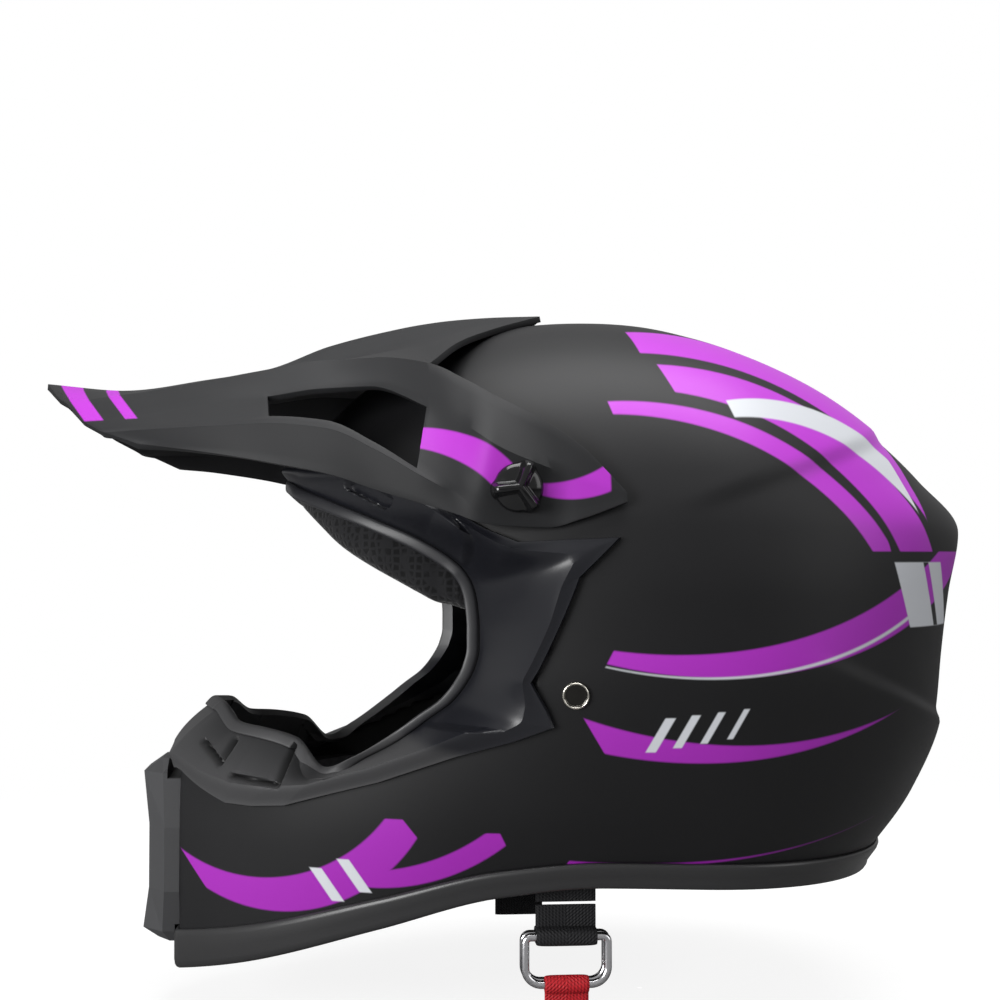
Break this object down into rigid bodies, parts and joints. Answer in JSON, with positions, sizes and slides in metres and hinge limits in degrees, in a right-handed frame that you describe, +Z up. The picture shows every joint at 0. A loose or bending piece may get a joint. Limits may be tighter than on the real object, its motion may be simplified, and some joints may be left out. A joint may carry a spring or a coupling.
{
  "type": "motocross helmet",
  "caption": "Off-road full-face helmet with a long tilting peak on side finger screws, an open eye port, a mouth vent, padded lining and a double-ring chin strap.",
  "frame": {"origin": "middle of the head space, on the symmetry plane", "axes": "+X forward, +Y to the wearer's left, +Z up"},
  "size_m": [0.3719, 0.2534, 0.2761],
  "materials": {
    "matte_black_paint": "matte",
    "peak_charcoal": "matte",
    "black_rubber": "satin",
    "vent_grey": "matte",
    "gloss_black": "gloss",
    "bright_steel": "polished",
    "foam_grey": "matte",
    "lining_black": "mesh fabric",
    "webbing_black": "woven",
    "tab_red": "woven"
  },
  "bodies": {
    "helmet": {"outer_shell": "matte_black_paint", "eyeport_trim": "black_rubber", "bottom_edge_trim": "black_rubber", "chin_vent_frame": "vent_grey", "chin_vent_mesh": "gloss_black", "peak_washer_left": "black_rubber", "peak_washer_right": "black_rubber", "peak_insert_left": "bright_steel", "peak_insert_right": "bright_steel", "eps_liner": "foam_grey", "comfort_liner": "lining_black", "chin_bar_liner": "foam_grey", "cheek_pad_left": "lining_black", "cheek_pad_right": "lining_black", "neck_roll": "lining_black", "strap_rivet_left": "bright_steel", "strap_rivet_right": "bright_steel", "strap_anchor_left": "bright_steel", "strap_anchor_right": "bright_steel", "strap_left_upper": "webbing_black", "strap_right_upper": "webbing_black"},
    "peak": {"peak": "peak_charcoal"},
    "peak_screw_left": {"peak_screw_left": "gloss_black"},
    "peak_screw_right": {"peak_screw_right": "gloss_black"},
    "strap_left": {"strap_left_lower": "webbing_black"},
    "strap_right": {"strap_right_lower": "webbing_black"},
    "ring_outer": {"d_ring_outer": "bright_steel", "pull_tab": "tab_red"},
    "ring_inner": {"d_ring_inner": "bright_steel"}
  },
  "joints": [
    {"name": "peak_tilt", "type": "hinge", "parent": "helmet", "child": "peak", "pos_m": [0.062, 0, 0.042], "axis": [0, 1, 0], "range_deg": [0, 12]},
    {"name": "peak_screw_left_turn", "type": "hinge", "parent": "helmet", "child": "peak_screw_left", "pos_m": [0.062, 0.1185, 0.042], "axis": [0, 1, 0], "continuous": true},
    {"name": "peak_screw_right_turn", "type": "hinge", "parent": "helmet", "child": "peak_screw_right", "pos_m": [0.062, -0.1185, 0.042], "axis": [0, 1, 0], "continuous": true},
    {"name": "strap_left_swing", "type": "hinge", "parent": "helmet", "child": "strap_left", "pos_m": [0.042, 0.08767, -0.108], "axis": [1, 0, 0], "range_deg": [-75, 40]},
    {"name": "strap_right_swing", "type": "hinge", "parent": "helmet", "child": "strap_right", "pos_m": [0.042, -0.08767, -0.108], "axis": [1, 0, 0], "range_deg": [-40, 75]},
    {"name": "ring_outer_swing", "type": "hinge", "parent": "strap_left", "child": "ring_outer", "pos_m": [0.042, 0.09037, -0.119], "axis": [1, 0, 0], "range_deg": [0, 60]},
    {"name": "ring_inner_swing", "type": "hinge", "parent": "strap_left", "child": "ring_inner", "pos_m": [0.042, 0.08497, -0.119], "axis": [1, 0, 0], "range_deg": [-60, 0]}
  ]
}
